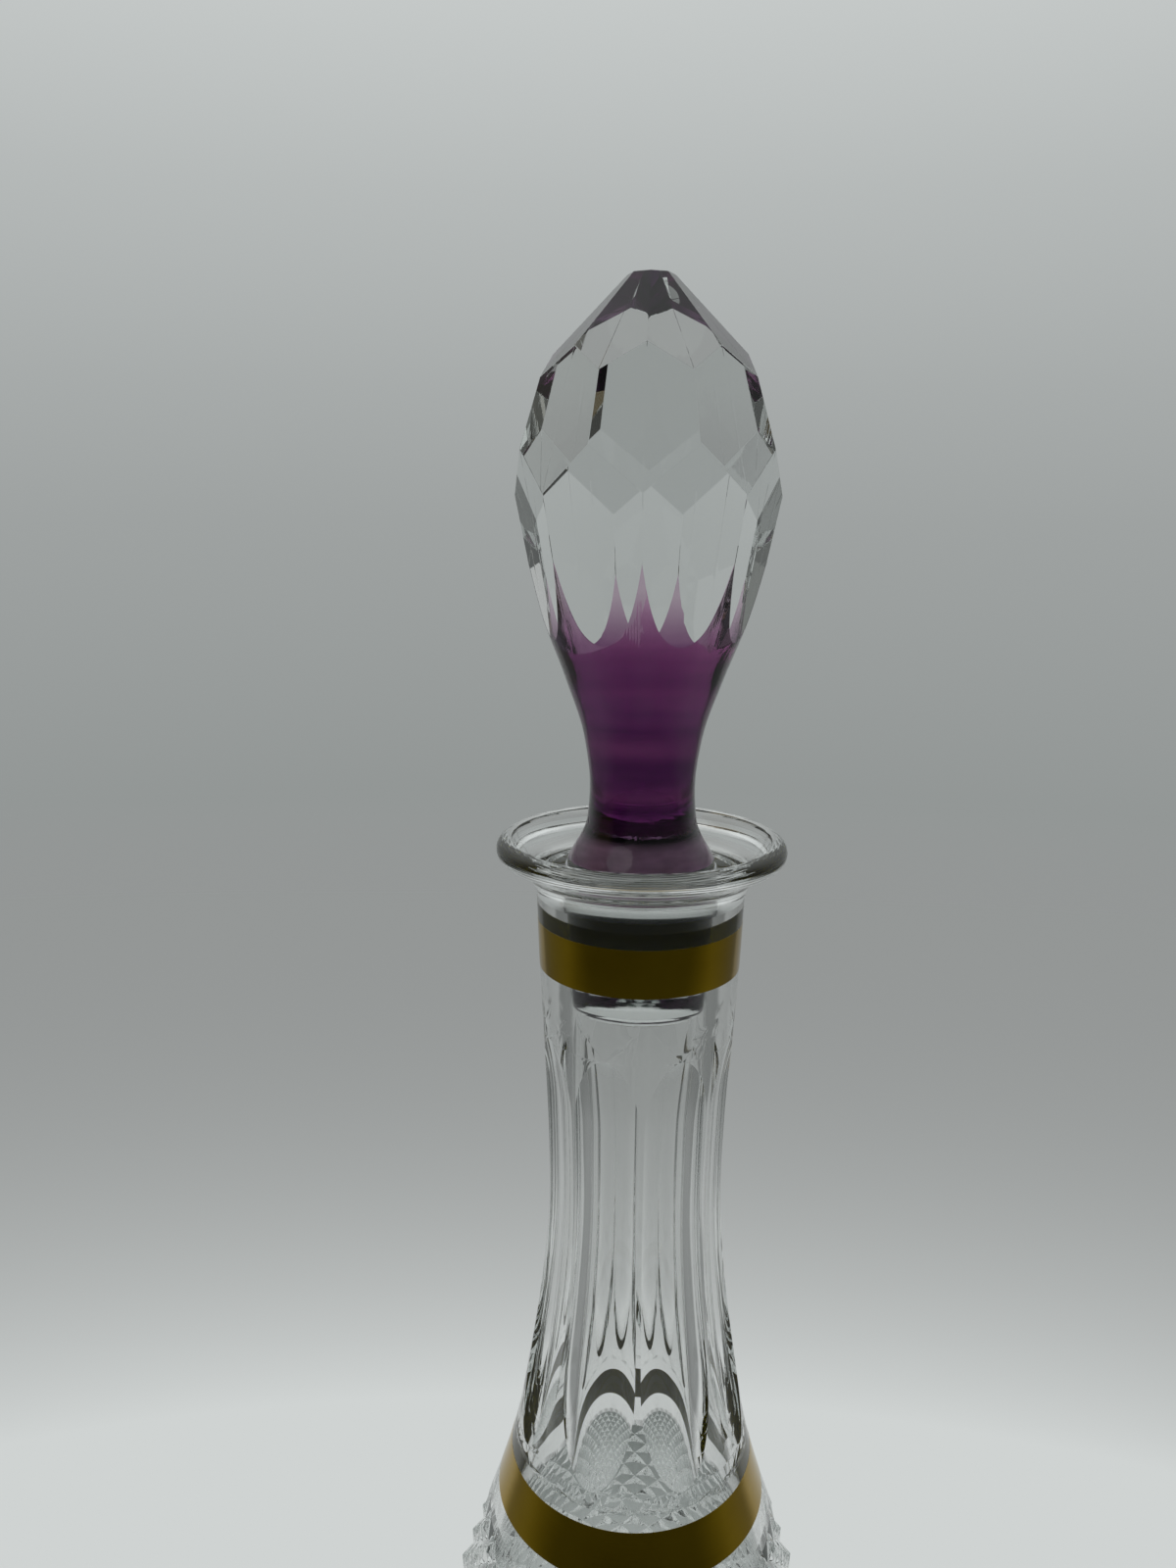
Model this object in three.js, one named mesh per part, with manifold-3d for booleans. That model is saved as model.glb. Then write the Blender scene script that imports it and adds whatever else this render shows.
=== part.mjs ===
// Cut crystal decanter: a thick-walled clear bottle with a fluted neck and two gilt bands,
// and a ground-in stopper whose knob is cut in three tiers of facets. The cuts go through a
// thin amethyst layer, which is left only on the stem, the foot and the uncut spikes.
// Millimetres, +Z up, origin at the centre of the foot ring on the table.

import * as THREE from 'three';
import { mergeVertices } from 'three/addons/utils/BufferGeometryUtils.js';
import Module from 'manifold-3d';

// ---- Driving dimensions: bottle -------------------------------------------------------

const FOOT_RADIUS = 44;             // outer edge of the foot ring, at the table
const FOOT_RING_WIDTH = 8;          // flat width that the bottle stands on
const BASE_RECESS = 3;              // depth of the hollow inside the foot ring
const HEEL_HEIGHT = 9;              // where the heel turns up into the body
const HEEL_RADIUS = 48;
const BELLY_RISE = 37;              // each rise is measured from the level before it
const BELLY_RADIUS = 53;            // the widest level
const SHOULDER_RISE = 72;
const SHOULDER_RADIUS = 37.6;       // where the shoulder is steepest
const NECK_ROOT_RISE = 52;
const NECK_ROOT_RADIUS = 21.7;      // where the shoulder becomes the neck
const NECK_WAIST_RISE = 48;
const NECK_WAIST_RADIUS = 16.4;     // the narrowest level
const COLLAR_RISE = 44;
const COLLAR_RADIUS = 18.3;         // the plain collar that carries the upper band
const LIP_ROOT_RISE = 13;
const LIP_ROOT_RADIUS = 18.8;       // where the lip starts to flare
const LIP_RISE = 10.3;              // from there to the crest of the lip
const LIP_RADIUS = 26;
const LIP_THICKNESS = 4;

const NECK_WALL = 4.6;              // glass thickness at the neck's waist
const BODY_WALL = 5.5;              // glass thickness at the belly
const BASE_THICKNESS = 9;           // glass above the base hollow

// ---- Driving dimensions: seat, bands and neck flutes ----------------------------------

const SEAT_TOP_DEPTH = 5.3;         // how far the seat starts below the lip's crest
const SEAT_TOP_RADIUS = 13.6;
const SEAT_LENGTH = 24;
const SEAT_TAPER = 1 / 24;          // radius lost per unit of depth
const SEAT_CLEARANCE = 0.3;         // radial gap between the ground faces

const LEAF_THICKNESS = 0.5;         // each gilt band as a ring let into the glass
const COLLAR_BAND_DROP = 0.5;       // lower edge of the band, below the collar's level
const COLLAR_BAND_HEIGHT = 8.8;
const SHOULDER_BAND_DROP = 19.7;    // lower edge of the band, below the neck's root
const SHOULDER_BAND_HEIGHT = 9.2;

const CUT_COUNT = 8;                // flutes round the neck, and facets in each knob tier
const FLUTE_BOTTOM_DROP = 4.5;      // lower end of a flute, below the neck's root
const FLUTE_TOP_DROP = 13;          // upper end of a flute, below the collar's level
const FLUTE_RUN_OUT = 14;           // length over which a flute reaches its full depth
const CUT_TURN = 3.5;               // degrees that the flutes stand round from the front
const FLUTE_OVERCUT = 1.15;         // depth, against flutes that would just meet in a ridge

// ---- Driving dimensions: stopper ------------------------------------------------------

const PLUG_REACH = 2;               // how far the plug's end stands below the seat
const PLUG_END_RADIUS = 2.5;        // rounding of the plug's polished end
const FOOT_RISE = 1.5;              // lower edge of the stem's flared foot, above the seat
const FOOT_INSET = 0.2;             // how far the foot stands inside the plug's top
const STEM_FOOT_RISE = 7;
const STEM_FOOT_RADIUS = 9.75;      // where the stem starts to flare
const STEM_WAIST_RISE = 6;
const STEM_WAIST_RADIUS = 9.35;     // narrowest part of the stem
const STEM_TOP_RISE = 8.5;
const STEM_TOP_RADIUS = 10.35;
const SWELL_LOWER_RISE = 10.5;
const SWELL_LOWER_RADIUS = 13.7;    // the uncut knob swells out from the stem
const SWELL_UPPER_RISE = 10.5;
const SWELL_UPPER_RADIUS = 17.65;
const BLANK_WIDE_RISE = 28;
const BLANK_WIDE_RADIUS = 25;       // widest level of the uncut knob
const TABLE_RISE = 27.4;            // from there to the table facet on top
const TABLE_RADIUS = 3.55;          // across-flats radius of the table facet
const CROWN_SLOPE = 0.917;          // radius gained per unit of depth on a crown facet
const HEXAGON_TOP_DEPTH = 12.4;     // level below the table where a hexagonal facet starts
const HEXAGON_SLOPE = 0.285;
const PANEL_TOP_DEPTH = 27.9;       // level below the table where a long panel starts
const PANEL_TOP_RADIUS = 22.2;
const PANEL_BOTTOM_DEPTH = 58.8;    // level below the table where a long panel runs out
const PANEL_BOTTOM_RADIUS = 16.45;
const PANEL_HOLLOW = 0.05;          // how far a panel is hollow along its length

const KNOB_TURN = -1.8;             // degrees that the knob's cuts stand round from the front

const FLASH_THICKNESS = 0.6;        // the amethyst layer
const FLASH_TOP_DEPTH = 37.4;       // its upper limit, above every spike
const GAP = 0.3;                    // clearance between a layer and the glass under it

// ---- Fineness -------------------------------------------------------------------------

const SIDES = 5 * CUT_COUNT;        // round surfaces, so that every ridge meets a vertex
const FINE_STEP = 4;                // longest step along an outline, on the stopper and neck
const COARSE_STEP = 11;             // the same inside the bottle and on its body
const MARGIN = 4;                   // how far a cutter reaches past what it cuts

// ---- Derived levels -------------------------------------------------------------------

const HALF_FACET = Math.PI / CUT_COUNT;
const BELLY = HEEL_HEIGHT + BELLY_RISE;
const SHOULDER = BELLY + SHOULDER_RISE;
const NECK_ROOT = SHOULDER + NECK_ROOT_RISE;
const NECK_WAIST = NECK_ROOT + NECK_WAIST_RISE;
const COLLAR = NECK_WAIST + COLLAR_RISE;
const LIP_ROOT = COLLAR + LIP_ROOT_RISE;
const MOUTH = LIP_ROOT + LIP_RISE;
const SEAT_TOP = MOUTH - SEAT_TOP_DEPTH;
const SEAT_BOTTOM = SEAT_TOP - SEAT_LENGTH;
const SEAT_BOTTOM_RADIUS = SEAT_TOP_RADIUS - SEAT_LENGTH * SEAT_TAPER;
const COLLAR_BAND_BOTTOM = COLLAR - COLLAR_BAND_DROP;
const SHOULDER_BAND_BOTTOM = NECK_ROOT - SHOULDER_BAND_DROP;
const FLUTE_BOTTOM = NECK_ROOT - FLUTE_BOTTOM_DROP;
const FLUTE_TOP = COLLAR - FLUTE_TOP_DROP;
const PLUG_BOTTOM = SEAT_BOTTOM - PLUG_REACH;
const FOOT_FLARE_RADIUS = SEAT_TOP_RADIUS - SEAT_CLEARANCE - FOOT_INSET;
const FLASH_BOTTOM = SEAT_TOP + FOOT_RISE;
const STEM_FOOT = FLASH_BOTTOM + STEM_FOOT_RISE;
const STEM_WAIST = STEM_FOOT + STEM_WAIST_RISE;
const STEM_TOP = STEM_WAIST + STEM_TOP_RISE;
const SWELL_LOWER = STEM_TOP + SWELL_LOWER_RISE;
const SWELL_UPPER = SWELL_LOWER + SWELL_UPPER_RISE;
const BLANK_WIDE = SWELL_UPPER + BLANK_WIDE_RISE;
const TABLE = BLANK_WIDE + TABLE_RISE;

// ---- Outlines -------------------------------------------------------------------------

// A radius as a smooth function of height through [height, radius] stations, lowest first.
// Slopes are the harmonic mean of the neighbouring chords, so it never overshoots.
function fair(stations) {
  const last = stations.length - 1;
  const chord = stations.slice(1).map(([z, r], i) => (r - stations[i][1]) / (z - stations[i][0]));
  const slope = stations.map((station, i) => {
    if (i === 0) return chord[0];
    if (i === last) return chord[last - 1];
    const product = chord[i - 1] * chord[i];
    return product > 0 ? (2 * product) / (chord[i - 1] + chord[i]) : 0;
  });
  return (z) => {
    let i = 0;
    while (i < last - 1 && z > stations[i + 1][0]) i += 1;
    const [z0, r0] = stations[i];
    const [z1, r1] = stations[i + 1];
    const h = z1 - z0;
    const t = Math.min(1, Math.max(0, (z - z0) / h));
    const rise = t * t * (3 - 2 * t);
    const lead = t * (1 - t) * (1 - t);
    const tail = t * t * (t - 1);
    return r0 + (r1 - r0) * rise + h * (slope[i] * lead + slope[i + 1] * tail);
  };
}

// Points [radius, height] of a radius function between two heights, in either direction.
function along(radiusAt, from, to, step) {
  const count = Math.max(1, Math.ceil(Math.abs(to - from) / step));
  const points = [];
  for (let i = 0; i <= count; i += 1) {
    const z = from + ((to - from) * i) / count;
    points.push([radiusAt(z), z]);
  }
  return points;
}

// A smooth curve through a few [radius, height] points.
function curve(points, divisions) {
  const spline = new THREE.SplineCurve(points.map(([r, z]) => new THREE.Vector2(r, z)));
  return spline.getPoints(divisions).map((p) => [p.x, p.y]);
}

const bottleRadius = fair([
  [HEEL_HEIGHT, HEEL_RADIUS],
  [BELLY, BELLY_RADIUS],
  [(BELLY + SHOULDER) / 2, BELLY_RADIUS - (BELLY_RADIUS - SHOULDER_RADIUS) * 0.3],
  [SHOULDER, SHOULDER_RADIUS],
  [NECK_ROOT, NECK_ROOT_RADIUS],
  [NECK_WAIST, NECK_WAIST_RADIUS],
  [COLLAR, COLLAR_RADIUS],
  [LIP_ROOT, LIP_ROOT_RADIUS],
]);

const CAVITY_FLOOR = BASE_RECESS + BASE_THICKNESS;
const cavityRadius = fair([
  [CAVITY_FLOOR + HEEL_HEIGHT, HEEL_RADIUS - BODY_WALL],
  [BELLY, BELLY_RADIUS - BODY_WALL],
  [SHOULDER, SHOULDER_RADIUS - BODY_WALL],
  [NECK_ROOT, NECK_ROOT_RADIUS - NECK_WALL],
  [NECK_WAIST, NECK_WAIST_RADIUS - NECK_WALL],
  [SEAT_BOTTOM, SEAT_BOTTOM_RADIUS],
]);

// The stopper before it is cut: foot, stem and swelling knob.
const blankRadius = fair([
  [FLASH_BOTTOM, FOOT_FLARE_RADIUS],
  [STEM_FOOT, STEM_FOOT_RADIUS],
  [STEM_WAIST, STEM_WAIST_RADIUS],
  [STEM_TOP, STEM_TOP_RADIUS],
  [SWELL_LOWER, SWELL_LOWER_RADIUS],
  [SWELL_UPPER, SWELL_UPPER_RADIUS],
  [BLANK_WIDE, BLANK_WIDE_RADIUS],
]);

// The bottle's surface once the neck flutes are cut. Each flute is flat across, starts and
// ends in a rounded arch, and in between meets the flutes on either side in a ridge.
function flutedRadius(r, angle, z) {
  const onOutside = r > bottleRadius(z) - NECK_WALL / 2;
  const fromEnd = Math.min(z - FLUTE_BOTTOM, FLUTE_TOP - z);
  if (!onOutside || fromEnd <= 0) return r;
  const depth = (1 - Math.cos(HALF_FACET)) * FLUTE_OVERCUT;
  const share = Math.sin((Math.min(1, fromEnd / FLUTE_RUN_OUT) * Math.PI) / 2);
  const turn = 2 * HALF_FACET;
  const fromMiddle = (((angle % turn) + turn) % turn) - HALF_FACET;
  return Math.min(r, (bottleRadius(z) * (1 - depth * share)) / Math.cos(fromMiddle));
}

// ---- Solids ---------------------------------------------------------------------------

const wasm = await Module();
wasm.setup();

// A closed three.js geometry as a solid, with its shared vertices merged.
function solid(geometry) {
  geometry.deleteAttribute('normal');
  geometry.deleteAttribute('uv');
  const merged = mergeVertices(geometry, 1e-4);
  const index = merged.index.array;
  const kept = [];
  for (let i = 0; i < index.length; i += 3) {
    const [a, b, c] = [index[i], index[i + 1], index[i + 2]];
    if (a !== b && b !== c && c !== a) kept.push(a, b, c);
  }
  const mesh = new wasm.Mesh({
    numProp: 3,
    vertProperties: new Float32Array(merged.attributes.position.array),
    triVerts: new Uint32Array(kept),
  });
  mesh.merge();
  return new wasm.Manifold(mesh);
}

// A solid turned from an outline of [radius, height] points that runs up the outside,
// and starts and ends on the axis or closes on itself. A cut may pull its surface inwards.
function turned(outline, cut = (r) => r) {
  const points = outline.map(([r, z]) => new THREE.Vector2(r, z));
  const geometry = new THREE.LatheGeometry(points, SIDES);
  geometry.rotateX(Math.PI / 2);
  const place = geometry.attributes.position;
  for (let i = 0; i < place.count; i += 1) {
    const [x, y, z] = [place.getX(i), place.getY(i), place.getZ(i)];
    const r = Math.hypot(x, y);
    const pull = r > 0 ? cut(r, Math.atan2(y, x), z) / r : 1;
    place.setXYZ(i, x * pull, y * pull, z);
  }
  return solid(geometry);
}

// A cutter that is straight across and follows [radius, height] points along its length.
// It takes away everything outside those points at the given angle round the axis.
function planeCutter(edge, angle, reach) {
  const first = edge[0];
  const last = edge[edge.length - 1];
  const outline = [...edge, [reach, last[1]], [reach, first[1]]];
  const shape = new THREE.Shape(outline.map(([r, z]) => new THREE.Vector2(r, z)));
  const geometry = new THREE.ExtrudeGeometry(shape, { depth: 2 * reach, bevelEnabled: false });
  const outward = new THREE.Vector3(Math.cos(angle), Math.sin(angle), 0);
  const up = new THREE.Vector3(0, 0, 1);
  const across = new THREE.Vector3().crossVectors(outward, up);
  geometry.translate(0, 0, -reach);
  geometry.applyMatrix4(new THREE.Matrix4().makeBasis(outward, up, across));
  return solid(geometry);
}

// The same cut made at every facet position round the axis, half a facet on if shifted.
function cutRound(body, edge, shifted, reach) {
  let result = body;
  for (let i = 0; i < CUT_COUNT; i += 1) {
    const angle = (2 * i + (shifted ? 1 : 0)) * HALF_FACET;
    result = result.subtract(planeCutter(edge, angle, reach));
  }
  return result;
}

// A ring between two heights that follows a radius function, from one inset to another.
function ring(radiusAt, bottom, top, outerInset, innerInset) {
  const outside = along(radiusAt, bottom, top, FINE_STEP).map(([r, z]) => [r - outerInset, z]);
  const inside = along(radiusAt, top, bottom, FINE_STEP).map(([r, z]) => [r - innerInset, z]);
  return turned([...outside, ...inside, outside[0]]);
}

function named(name, body, material) {
  const { vertProperties, triVerts, numProp } = body.getMesh();
  const positions = new Float32Array((vertProperties.length / numProp) * 3);
  for (let i = 0; i < positions.length / 3; i += 1) {
    positions.set(vertProperties.subarray(i * numProp, i * numProp + 3), i * 3);
  }
  const geometry = new THREE.BufferGeometry();
  geometry.setAttribute('position', new THREE.BufferAttribute(positions, 3));
  geometry.setIndex(new THREE.BufferAttribute(new Uint32Array(triVerts), 1));
  geometry.computeVertexNormals();
  const mesh = new THREE.Mesh(geometry, material);
  mesh.name = name;
  return mesh;
}

// ---- Materials ------------------------------------------------------------------------

const crystal = new THREE.MeshStandardMaterial({
  color: 0xdfe6e2,
  roughness: 0.03,
  metalness: 0,
  transparent: true,
  opacity: 0.35,
});
const amethyst = new THREE.MeshStandardMaterial({
  color: 0x6b2f74,
  roughness: 0.04,
  metalness: 0,
  transparent: true,
  opacity: 0.7,
});
const gilt = new THREE.MeshStandardMaterial({ color: 0x8a6a1c, roughness: 0.28, metalness: 1 });

// ---- Bottle ---------------------------------------------------------------------------

const BANDS = [
  { bottom: COLLAR_BAND_BOTTOM, top: COLLAR_BAND_BOTTOM + COLLAR_BAND_HEIGHT },
  { bottom: SHOULDER_BAND_BOTTOM, top: SHOULDER_BAND_BOTTOM + SHOULDER_BAND_HEIGHT },
];

// The foot ring and the heel, from the centre of the base out and up.
function footOutline() {
  const ringInside = FOOT_RADIUS - FOOT_RING_WIDTH;
  const base = curve([
    [0, BASE_RECESS],
    [ringInside * 0.6, BASE_RECESS * 0.8],
    [ringInside, 0],
  ], 6);
  const heel = curve([
    [FOOT_RADIUS, 0],
    [HEEL_RADIUS - 0.8, HEEL_HEIGHT / 3],
    [HEEL_RADIUS, HEEL_HEIGHT],
  ], 4);
  return [...base, ...heel];
}

// The lip: flared underside, rounded crest and the dish that leads down to the seat.
function lipOutline() {
  const rim = LIP_THICKNESS / 2;
  const spread = LIP_RADIUS - LIP_ROOT_RADIUS;
  const centre = [LIP_RADIUS - rim, MOUTH - rim];
  const underside = curve([
    [LIP_ROOT_RADIUS, LIP_ROOT],
    [LIP_ROOT_RADIUS + spread * 0.25, LIP_ROOT + (centre[1] - LIP_ROOT) * 0.45],
    [centre[0] + rim * 0.5, centre[1] - rim * 0.87],
  ], 4);
  const crest = [];
  for (let i = 1; i <= 5; i += 1) {
    const angle = (-60 + 34 * i) * (Math.PI / 180);
    crest.push([centre[0] + rim * Math.cos(angle), centre[1] + rim * Math.sin(angle)]);
  }
  const dish = curve([
    crest[crest.length - 1],
    [(LIP_RADIUS + SEAT_TOP_RADIUS) / 2, SEAT_TOP + SEAT_TOP_DEPTH * 0.2],
    [SEAT_TOP_RADIUS, SEAT_TOP],
  ], 4);
  return [...underside, ...crest, ...dish.slice(1)];
}

// The hollow inside, from the bottom of the seat down to the middle of the floor.
function cavityOutline() {
  const wallFoot = CAVITY_FLOOR + HEEL_HEIGHT;
  const footRadius = cavityRadius(wallFoot);
  const floor = curve([
    [footRadius, wallFoot],
    [footRadius - HEEL_HEIGHT * 0.4, CAVITY_FLOOR + HEEL_HEIGHT * 0.3],
    [footRadius * 0.6, CAVITY_FLOOR],
    [0, CAVITY_FLOOR],
  ], 6);
  return [...along(cavityRadius, SEAT_BOTTOM, wallFoot, COARSE_STEP), ...floor.slice(1)];
}

function makeBottle() {
  const outline = [
    ...footOutline(),
    ...along(bottleRadius, HEEL_HEIGHT, FLUTE_BOTTOM, COARSE_STEP).slice(1),
    ...along(bottleRadius, FLUTE_BOTTOM, FLUTE_TOP, FINE_STEP + 1).slice(1),
    ...along(bottleRadius, FLUTE_TOP, LIP_ROOT, COARSE_STEP).slice(1),
    ...lipOutline().slice(1),
    ...cavityOutline(),
  ];
  let body = turned(outline, flutedRadius);
  for (const { bottom, top } of BANDS) {
    const inset = LEAF_THICKNESS + GAP;
    body = body.subtract(ring(bottleRadius, bottom - GAP, top + GAP, -MARGIN, inset));
  }
  return body.rotate([0, 0, CUT_TURN]);
}

function makeBand({ bottom, top }) {
  return ring(bottleRadius, bottom, top, 0, LEAF_THICKNESS).rotate([0, 0, CUT_TURN]);
}

// ---- Stopper --------------------------------------------------------------------------

// The plug follows the seat's taper with the seat's clearance, and ends in a rounded edge.
function plugOutline() {
  const radiusAt = (z) => SEAT_TOP_RADIUS - SEAT_CLEARANCE - (SEAT_TOP - z) * SEAT_TAPER;
  const endRadius = radiusAt(PLUG_BOTTOM);
  const outline = [[0, PLUG_BOTTOM]];
  for (let i = 0; i <= 3; i += 1) {
    const angle = (i / 3) * (Math.PI / 2);
    const r = endRadius - PLUG_END_RADIUS * (1 - Math.sin(angle));
    outline.push([r, PLUG_BOTTOM + PLUG_END_RADIUS * (1 - Math.cos(angle))]);
  }
  outline.push([radiusAt(SEAT_TOP), SEAT_TOP]);
  return outline;
}

// Crown facets, hexagonal facets and long panels, each as a section edge that runs from
// low to high. A panel goes on down beside the stem, so that it always leaves the blank.
function knobCuts() {
  const crownFoot = TABLE - 2 * HEXAGON_TOP_DEPTH;
  const crown = [
    [TABLE_RADIUS + 2 * HEXAGON_TOP_DEPTH * CROWN_SLOPE, crownFoot],
    [TABLE_RADIUS - MARGIN * CROWN_SLOPE, TABLE + MARGIN],
  ];
  const hexagonTop = (TABLE_RADIUS + HEXAGON_TOP_DEPTH * CROWN_SLOPE) / Math.cos(HALF_FACET);
  const hexagon = [
    [hexagonTop + HEXAGON_SLOPE * 2 * HEXAGON_TOP_DEPTH, TABLE - 3 * HEXAGON_TOP_DEPTH],
    [hexagonTop - HEXAGON_SLOPE * MARGIN, TABLE - HEXAGON_TOP_DEPTH + MARGIN],
  ];
  const panel = [[PANEL_BOTTOM_RADIUS, STEM_TOP]];
  const panelLength = PANEL_BOTTOM_DEPTH - PANEL_TOP_DEPTH;
  const steps = 6;
  for (let i = -1; i <= steps + 1; i += 1) {
    const share = i / steps;
    const straight = PANEL_BOTTOM_RADIUS + (PANEL_TOP_RADIUS - PANEL_BOTTOM_RADIUS) * share;
    const hollow = 4 * PANEL_HOLLOW * share * (1 - share);
    panel.push([straight - hollow, TABLE - PANEL_BOTTOM_DEPTH + panelLength * share]);
  }
  return { crown, hexagon, panel };
}

function cutKnob(body) {
  const { crown, hexagon, panel } = knobCuts();
  const reach = 2 * BLANK_WIDE_RADIUS;
  let result = cutRound(body, panel, true, reach);
  result = cutRound(result, hexagon, false, reach);
  return cutRound(result, crown, true, reach);
}

function makeStopperCore() {
  const footTop = FLASH_BOTTOM - GAP;
  const inset = FLASH_THICKNESS + GAP;
  const outline = [
    ...plugOutline(),
    [FOOT_FLARE_RADIUS, footTop],
    ...along(blankRadius, footTop, BLANK_WIDE, FINE_STEP).map(([r, z]) => [r - inset, z]),
    [BLANK_WIDE_RADIUS, TABLE],
    [0, TABLE],
  ];
  return cutKnob(turned(outline)).rotate([0, 0, KNOB_TURN]);
}

function makeFlash() {
  const top = TABLE - FLASH_TOP_DEPTH;
  const layer = ring(blankRadius, FLASH_BOTTOM, top, 0, FLASH_THICKNESS);
  return cutKnob(layer).rotate([0, 0, KNOB_TURN]);
}

// ---- Assembly -------------------------------------------------------------------------

const bottleGroup = new THREE.Group();
bottleGroup.add(named('bottle', makeBottle(), crystal));
bottleGroup.add(named('collar_gilt_band', makeBand(BANDS[0]), gilt));
bottleGroup.add(named('shoulder_gilt_band', makeBand(BANDS[1]), gilt));

const stopperGroup = new THREE.Group();
stopperGroup.add(named('stopper_core', makeStopperCore(), crystal));
stopperGroup.add(named('amethyst_flash', makeFlash(), amethyst));

const decanter = new THREE.Group();
decanter.add(bottleGroup, stopperGroup);

export default decanter;
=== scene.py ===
"""Cut crystal decanter: the glass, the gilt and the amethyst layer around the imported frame.

Lengths are in millimetres until a mesh is made, heights are above the foot ring, and angles
are in radians round the decanter's axis. The bottle is one turned surface of glass with its
neck flutes and diamond cuts worked into it. The stopper is a second one, cut in three tiers
of facets. A thin amethyst shell lies over the uncut part of the stopper, and the two gilt
bands are leaf on the bottle's surface.
"""

import bpy
import numpy as np
from mathutils import Matrix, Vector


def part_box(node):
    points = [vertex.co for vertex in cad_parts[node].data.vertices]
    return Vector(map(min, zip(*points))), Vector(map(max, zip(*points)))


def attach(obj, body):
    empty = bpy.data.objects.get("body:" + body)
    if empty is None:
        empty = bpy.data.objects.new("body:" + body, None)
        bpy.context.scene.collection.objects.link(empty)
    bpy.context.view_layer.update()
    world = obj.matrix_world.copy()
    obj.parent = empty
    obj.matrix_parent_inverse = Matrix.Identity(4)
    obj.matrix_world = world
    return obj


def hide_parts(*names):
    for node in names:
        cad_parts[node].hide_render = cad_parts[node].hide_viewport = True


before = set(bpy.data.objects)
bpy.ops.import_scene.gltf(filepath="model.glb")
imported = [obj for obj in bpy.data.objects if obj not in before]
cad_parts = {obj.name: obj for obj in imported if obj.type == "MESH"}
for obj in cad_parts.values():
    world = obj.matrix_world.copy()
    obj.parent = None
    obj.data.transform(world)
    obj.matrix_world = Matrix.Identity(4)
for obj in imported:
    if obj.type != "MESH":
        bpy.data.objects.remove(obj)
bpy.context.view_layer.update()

MM = 0.001

# ---- Sizes taken from the frame ---------------------------------------------------------


def heights(node):
    """The lowest and the highest point of a CAD node, in millimetres."""
    low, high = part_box(node)
    return low[2] / MM, high[2] / MM


COLLAR_BAND = heights("collar_gilt_band")
SHOULDER_BAND = heights("shoulder_gilt_band")
PLUG_BOTTOM, TABLE = heights("stopper_core")
FLASH_BOTTOM = heights("amethyst_flash")[0]

# ---- Bottle ------------------------------------------------------------------------------

FOOT_RADIUS = 44.0
FOOT_RING_WIDTH = 8.0
RING_INSIDE = FOOT_RADIUS - FOOT_RING_WIDTH
BASE_RECESS = 3.0
HEEL_HEIGHT, HEEL_RADIUS = 9.0, 48.0
BELLY_HEIGHT, BELLY_RADIUS = 46.0, 53.0
FLANK_SHARE = 0.3  # how far the outline has come in, halfway from belly to shoulder
SHOULDER_HEIGHT, SHOULDER_RADIUS = 118.0, 37.6
NECK_ROOT_HEIGHT, NECK_ROOT_RADIUS = 170.0, 21.7
NECK_WAIST_HEIGHT, NECK_WAIST_RADIUS = 218.0, 16.4
COLLAR_HEIGHT, COLLAR_RADIUS = 262.0, 18.3
LIP_ROOT_HEIGHT, LIP_ROOT_RADIUS = 275.0, 18.8
LIP_RADIUS, LIP_THICKNESS, MOUTH = 26.0, 4.0, 285.3
NECK_WALL, BODY_WALL, BASE_THICKNESS = 4.6, 5.5, 9.0
SEAT_TOP = MOUTH - 5.3  # the dish of the lip leads this far down
SEAT_TOP_RADIUS, SEAT_LENGTH, SEAT_TAPER = 13.6, 24.0, 1 / 24
SEAT_BOTTOM = SEAT_TOP - SEAT_LENGTH
SEAT_BOTTOM_RADIUS = SEAT_TOP_RADIUS - SEAT_LENGTH * SEAT_TAPER
SEAT_CLEARANCE = 0.3

CUTS = 8  # flutes round the neck, and facets in each tier of the knob
SECTOR = 2 * np.pi / CUTS
CUT_TURN = 3.5 * np.pi / 180  # the bottle's cuts stand this far round from the front
FLUTE_BOTTOM, FLUTE_TOP = 165.5, 249.0
FLUTE_LOWER_ARCH, FLUTE_UPPER_ARCH = 20.0, 13.0  # length of the pointed ends
FLUTE_HOLLOW = ((170.0, 215.0), (20.0, 38.0))  # heights, and the flute's radius across there
FLUTE_LAND = 1.5 * np.pi / 180  # half the angle of the ridge left between two flutes
FLUTE_SETTLE = 6.0  # the columns beyond a flute are even again after this height

DIAMONDS_ROUND = 32
DIAMOND_BOTTOM, DIAMOND_TOP = 52.0, 140.0
DIAMOND_DEPTH = 1.35
DIAMOND_ASPECT = 1.12  # height of a diamond against its width
HEEL_FLUTES, HEEL_FLUTE_DEPTH, HEEL_FLUTE_ARCH = 32, 1.1, 5.0
HEEL_FLUTE_BOTTOM, HEEL_FLUTE_TOP = HEEL_HEIGHT + 2.0, DIAMOND_BOTTOM - 5.0
STAR_POINTS, STAR_DEPTH = 16, 1.1
STAR_WIDTH = 1.84  # a groove's width at the centre, where 1 would meet the next groove
STAR_REACH = 0.92  # how far toward the foot ring the grooves run

# ---- Stopper -----------------------------------------------------------------------------

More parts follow.
